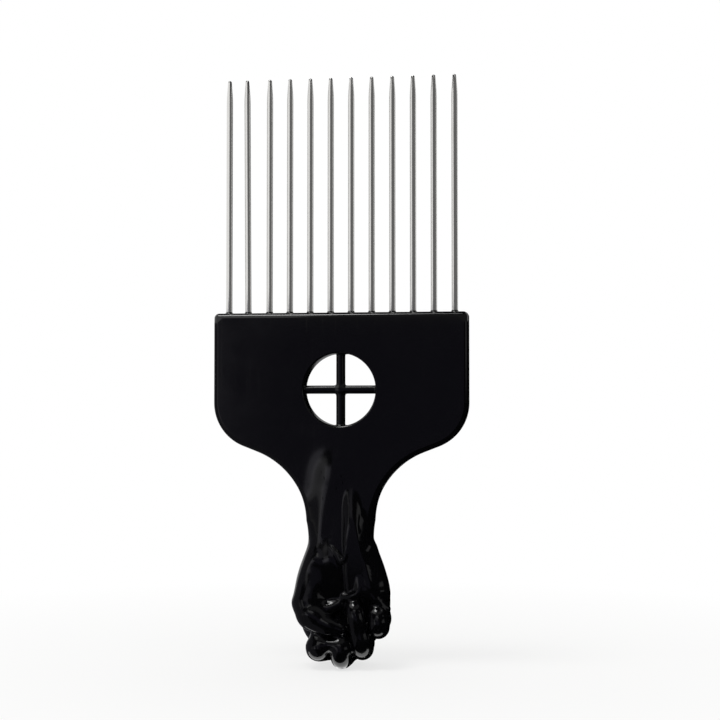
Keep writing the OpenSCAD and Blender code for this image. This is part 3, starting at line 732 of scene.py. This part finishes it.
def seen_by(tree):
    """One for rays from the camera, reflections and transmission, nought for the rays that light things."""
    path = add(tree, "LightPath").outputs
    two = add(tree, "Math", {0: path["Is Camera Ray"], 1: path["Is Glossy Ray"]}, operation="MAXIMUM")
    three = add(tree, "Math", {0: two.outputs[0], 1: path["Is Transmission Ray"]}, operation="MAXIMUM")
    return three.outputs[0]


floor_reach = 4.0
spread = np.linspace(-floor_reach, floor_reach, 3)
floor = grid_sheet("paper_floor", np.stack(np.broadcast_arrays(spread[None, :], spread[:, None], 0.0), -1))
paper, tree = material("white_background_paper")
shader = add(tree, "BsdfPrincipled", {"Base Color": linear("#f4f4f2"), "Roughness": 0.85,
                                      "Specular IOR Level": 0.0})
away = add(tree, "VectorMath", {0: add(tree, "TexCoord").outputs["Object"]}, operation="LENGTH")
clear = add(tree, "MapRange", {"Value": away.outputs["Value"], "From Min": 0.03, "From Max": 0.22,
                               "To Min": 0.72, "To Max": 1.0})
share_seen = add(tree, "Math", {0: clear.outputs["Result"], 1: seen_by(tree)}, operation="MULTIPLY")
glow = add(tree, "Emission", {"Color": (1, 1, 1, 1), "Strength": 1.0})
mix = add(tree, "MixShader", {"Fac": share_seen.outputs[0], 1: shader.outputs["BSDF"],
                              2: glow.outputs["Emission"]})
add(tree, "OutputMaterial", {"Surface": mix.outputs["Shader"]})
floor.data.materials.append(paper)
world = bpy.data.worlds.new("studio")
bpy.context.scene.world = world
world.use_nodes = True
tree = world.node_tree
tree.nodes.clear()
level = add(tree, "MapRange", {"Value": seen_by(tree), "To Min": 0.6, "To Max": 1.0})
sky = add(tree, "Background", {"Color": (1, 1, 1, 1), "Strength": level.outputs["Result"]})
add(tree, "OutputWorld", {"Surface": sky.outputs["Background"]})
print("floor and world are white")

# %% [markdown]
# Glossy black plastic shows nothing but its surroundings, so a round room of cards is built for it, as a
# photographer would, out of the camera's sight. The cards are painted reflections: the pale ones glow though
# they are no lamps, the black ones darken the gloss, and none of them lights anything or casts a shadow. A
# painted room on the world would be one image; cards have a place and a size, so a highlight that sits wrong
# is one card to move. Walls that overlap stand a few millimetres apart.

# %% Cards
def card(name, points, coat):
    """A sheet that only reflections see."""
    made = grid_sheet(name, points)
    made.data.materials.append(coat)
    made.visible_camera = made.visible_diffuse = made.visible_shadow = False


def arc(start, stop, steps=40):
    """Unit vectors (sin a, -cos a, 0) for azimuths a in degrees, nought in front, positive to the right."""
    a = np.radians(np.linspace(start, stop, steps))
    return np.stack([np.sin(a), -np.cos(a), 0 * a], -1)


def wall(name, start, stop, low, high, coat, reach=0.75):
    """A bent wall between two azimuths and two heights, at one reach from the axis of the object."""
    card(name, np.stack([reach * arc(start, stop) + [0, 0, h] for h in (low, high)]), coat)


def glowing(name, colour, strength):
    """A coat that shines evenly, a painted reflection that is no lamp; the white background has a strength of
    1.
    """
    coat, tree = material(name)
    shine = add(tree, "Emission", {"Color": linear(colour), "Strength": strength})
    add(tree, "OutputMaterial", {"Surface": shine.outputs["Emission"]})
    return coat


velvet, tree = material("black_velvet_card")
shader = add(tree, "BsdfPrincipled", {"Base Color": linear("#050505"), "Roughness": 1.0,
                                      "Specular IOR Level": 0.0})
add(tree, "OutputMaterial", {"Surface": shader.outputs["BSDF"]})
# Glowing coats, painted reflections that light nothing: white at the background's strength, a dim tinted
# room, and a darker and a lighter copy of one white for the back.
painted_reflection_white = glowing("painted_reflection_white_glow", "#ffffff", 1.0)
room = glowing("painted_reflection_dim_room", "#ded8ff", 0.09)
painted_back_darker, painted_back_lighter = glowing("painted_reflection_back_darker", "#ffffff", 0.28), glowing("painted_reflection_back_lighter", "#ffffff", 0.6)
print("velvet, fabric and three paints for the room")

# %% [markdown]
# The walls are painted reflections: dim glows in front and on the left, black on the right, and a lighter
# glow behind on the left, where the back of the wrist looks. Two glowing strips above the camera's level
# paint the highlights on the wrist and the folds. A gap in the front wall, with a strip glowing at about half
# strength behind it, paints the long leaf of highlight on the wrist.

# %% Walls of the room
room_top = 1.3
wall("card_low_front", -17, 22, 0, 0.16, room, 0.745)
wall("card_mid_front", -15, 22, 0.16, 0.3, room, 0.745)
wall("front_left_strip", -29, -16, 0, 0.16, glowing("painted_reflection_left_strip", "#f2f0ff", 0.55))
wall("card_low_right", 22, 220, 0, 0.16, velvet)
wall("card_low_left", 220, 332, 0, 0.3, glowing("painted_reflection_wall_left", "#f2f0ff", 0.13))
wall("card_high_round", -180, 180, 0.16, room_top, velvet, 0.755)
wall("card_back", 180, 195, 0, 0.45, painted_back_darker, 0.74)
wall("card_back_left", 195, 236, 0, 0.5, painted_back_lighter, 0.735)
wall("card_high_left", 220, 300, 0.3, 0.55, glowing("painted_reflection_wall_high", "#f2f0ff", 0.11), 0.752)
wall("front_strip", -24, 12, 0.3, 0.46, glowing("painted_reflection_front_strip", "#f2f0ff", 0.27), 0.74)
wall("front_high", -12, 18, 0.47, 0.6, painted_reflection_white, 0.74)
whole_turn = arc(-180, 180, 60)
card("card_above", np.stack([whole_turn * reach + [0, 0, room_top] for reach in (0.01, 0.75)]), velvet)
print("walls set")

# %% [markdown]
# Steel pins are bright only if something bright stands round them, and the black room doesn't. A larger
# sheet far away would show in the fist as well. So a ring of glowing white sheets, a painted reflection that
# lights nothing, hangs close round the pins. From the middle of the front to the right it glows at a sixth of
# the strength, a painted shade, which leaves each pin a dark stripe and keeps glare off the head's top edge.

# %% Ring round the pins
ring_low, ring_high, ring_reach = 0.106, 0.21, 0.1
wall("ring_right", 104, 130, ring_low, ring_high, painted_reflection_white, ring_reach)
wall("ring_left", 230, 312, ring_low, ring_high, painted_reflection_white, ring_reach)
wall("ring_front", 312, 343, ring_low + 0.006, ring_high, painted_reflection_white, ring_reach)
# The same white at a sixth of the strength: painted shade in the pins' reflection.
wall("ring_painted_shade", -17, 104, ring_low, ring_high, glowing("painted_shade_white_glow", "#ffffff", 0.16), ring_reach)
print("ring set")

# %% [markdown]
# The undersides of the knuckles look down at the floor, which has to be black to them too: a black card
# over the white paper, a painted dark reflection. Painted sectors of it go on from the walls that stand over
# them, a glowing slot under the palm side paints the bright crescents of the knuckles as highlights, and a
# low glowing card on the left paints a highlight on the edge of the thumb.

# %% Cards on the floor
floor_lift, layer, outer = 0.0003, 0.00005, 0.745
card("card_floor", np.stack([whole_turn * reach + [0, 0, floor_lift] for reach in (0, 0.75)]), velvet)
for name, start, stop, inner, coat in (
        ("card_floor_left", 215, 338, 0.012, glowing("painted_reflection_floor_left", "#f2f0ff", 0.12)),
        ("card_floor_front", -22, 22, 0.28, room),
        ("card_floor_back", 178, 195, 0.1, painted_back_darker),
        ("card_floor_back_left", 195, 215, 0.03, painted_back_lighter)):
    sector = [arc(start, stop) * reach + [0, 0, floor_lift + layer] for reach in (inner, outer)]
    card(name, np.stack(sector), coat)
slot_x, slot_y = np.linspace(-0.02, 0.02, 9), [-0.0095, -0.0055]
slot = [np.stack([slot_x, 0 * slot_x + y, 0 * slot_x + floor_lift + 2 * layer], -1) for y in slot_y]
# A glowing strip seen only in gloss: the painted highlight of the knuckles' crescents.
card("painted_highlight_slot", np.stack(slot), glowing("painted_highlight_glow", "#ffffff", 2.2))
# A glowing card seen only in gloss: a painted highlight on the edge of the thumb.
wall("low_left", 302, 318, 0, 0.04, glowing("painted_highlight_left", "#ffffff", 0.25), 0.2)
print("floor set")

# %% [markdown]
# Three soft boxes light the object and its shadow, and show in it as well. A lamp's power doesn't tell how
# bright it looks in gloss. An area lamp looks as bright as its power divided by four times its area, so
# here each lamp is given that brightness, in the same measure as the cards.

# %% Lamps
def lamp(name, azimuth, height, reach, width, tall, radiance):
    """A soft box that faces the fist, as strong as a surface of that radiance."""
    light = bpy.data.lights.new(name, "AREA")
    light.shape, light.size, light.size_y = "RECTANGLE", width, tall
    light.energy = 4 * width * tall * radiance
    made = bpy.data.objects.new(name, light)
    bpy.context.scene.collection.objects.link(made)
    a = radians(azimuth)
    made.location = (reach * sin(a), -reach * cos(a), height)
    made.rotation_euler = (middle_of_fist - made.location).to_track_quat("-Z", "Y").to_euler()


middle_of_fist = Vector((0, 0, 0.05))
lamp("left_box", -29.3, 0.135, 0.6, 0.105, 0.26, 0.26)
lamp("right_strip", 70, 0.16, 0.6, 0.36, 0.13, 0.3)
lamp("top_box", -40, 1.05, 0.42, 0.4, 0.3, 8)
print("lamps set")

# %% [markdown]
# The picture was taken from a little to the right and slightly below the middle of the object, from rather
# near, with a lens about three times as long as the frame is wide. The camera stands where those sight
# lines meet.

# %% Camera
sensor, lens = 36, 74.93
azimuth, elevation, distance = radians(8.135), radians(-2.016), 432.02
target = np.array([5.594, 0, 87.83])
back = np.array([sin(azimuth) * cos(elevation), -cos(azimuth) * cos(elevation), sin(elevation)])
camera = bpy.data.objects.new("camera", bpy.data.cameras.new("camera"))
camera.data.sensor_width, camera.data.lens = sensor, lens
camera.location = (target + distance * back) * MM
camera.rotation_euler = Vector(-back).to_track_quat("-Z", "Y").to_euler()
bpy.context.scene.collection.objects.link(camera)
bpy.context.scene.camera = camera
bpy.context.scene.view_settings.view_transform = "Standard"
print("camera at", [round(v, 4) for v in camera.location])
